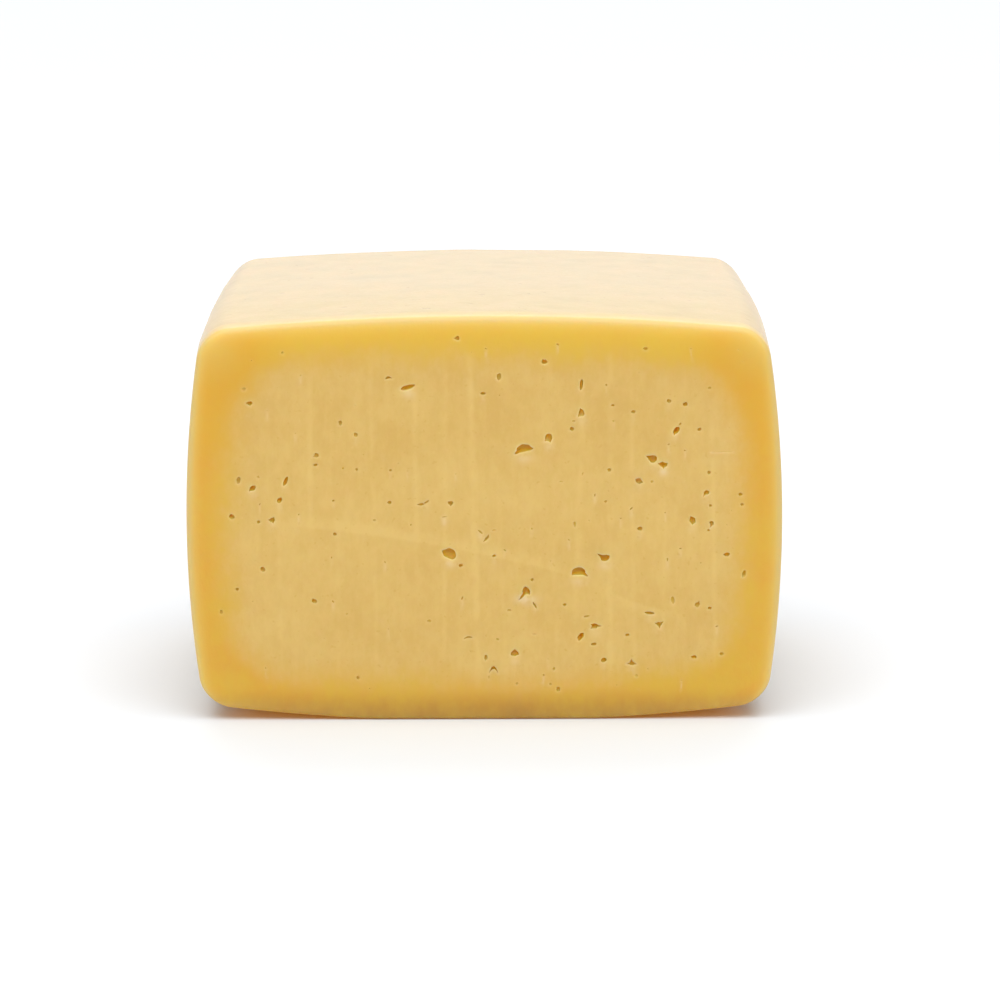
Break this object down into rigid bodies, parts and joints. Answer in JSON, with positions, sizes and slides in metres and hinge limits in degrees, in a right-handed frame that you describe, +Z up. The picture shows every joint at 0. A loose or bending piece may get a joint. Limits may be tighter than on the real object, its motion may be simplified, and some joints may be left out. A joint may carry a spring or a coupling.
{
  "type": "half cheese loaf",
  "caption": "Half of a brick-shaped semi-hard cheese loaf with rounded rind edges, cut square across, small irregular eyes open in the flat cut face.",
  "frame": {"origin": "middle of the footprint, on the surface the block rests on", "axes": "+Z up, the cut face looks along -Y, the rounded closed end along +Y, +X across the cut face"},
  "size_m": [0.149, 0.1272, 0.1024],
  "materials": {
    "cheese": "golden-beige cheese paste, soft satin, going deeper gold towards the thin natural rind"
  },
  "bodies": {
    "root": {"cheese_block": "cheese"}
  },
  "joints": []
}
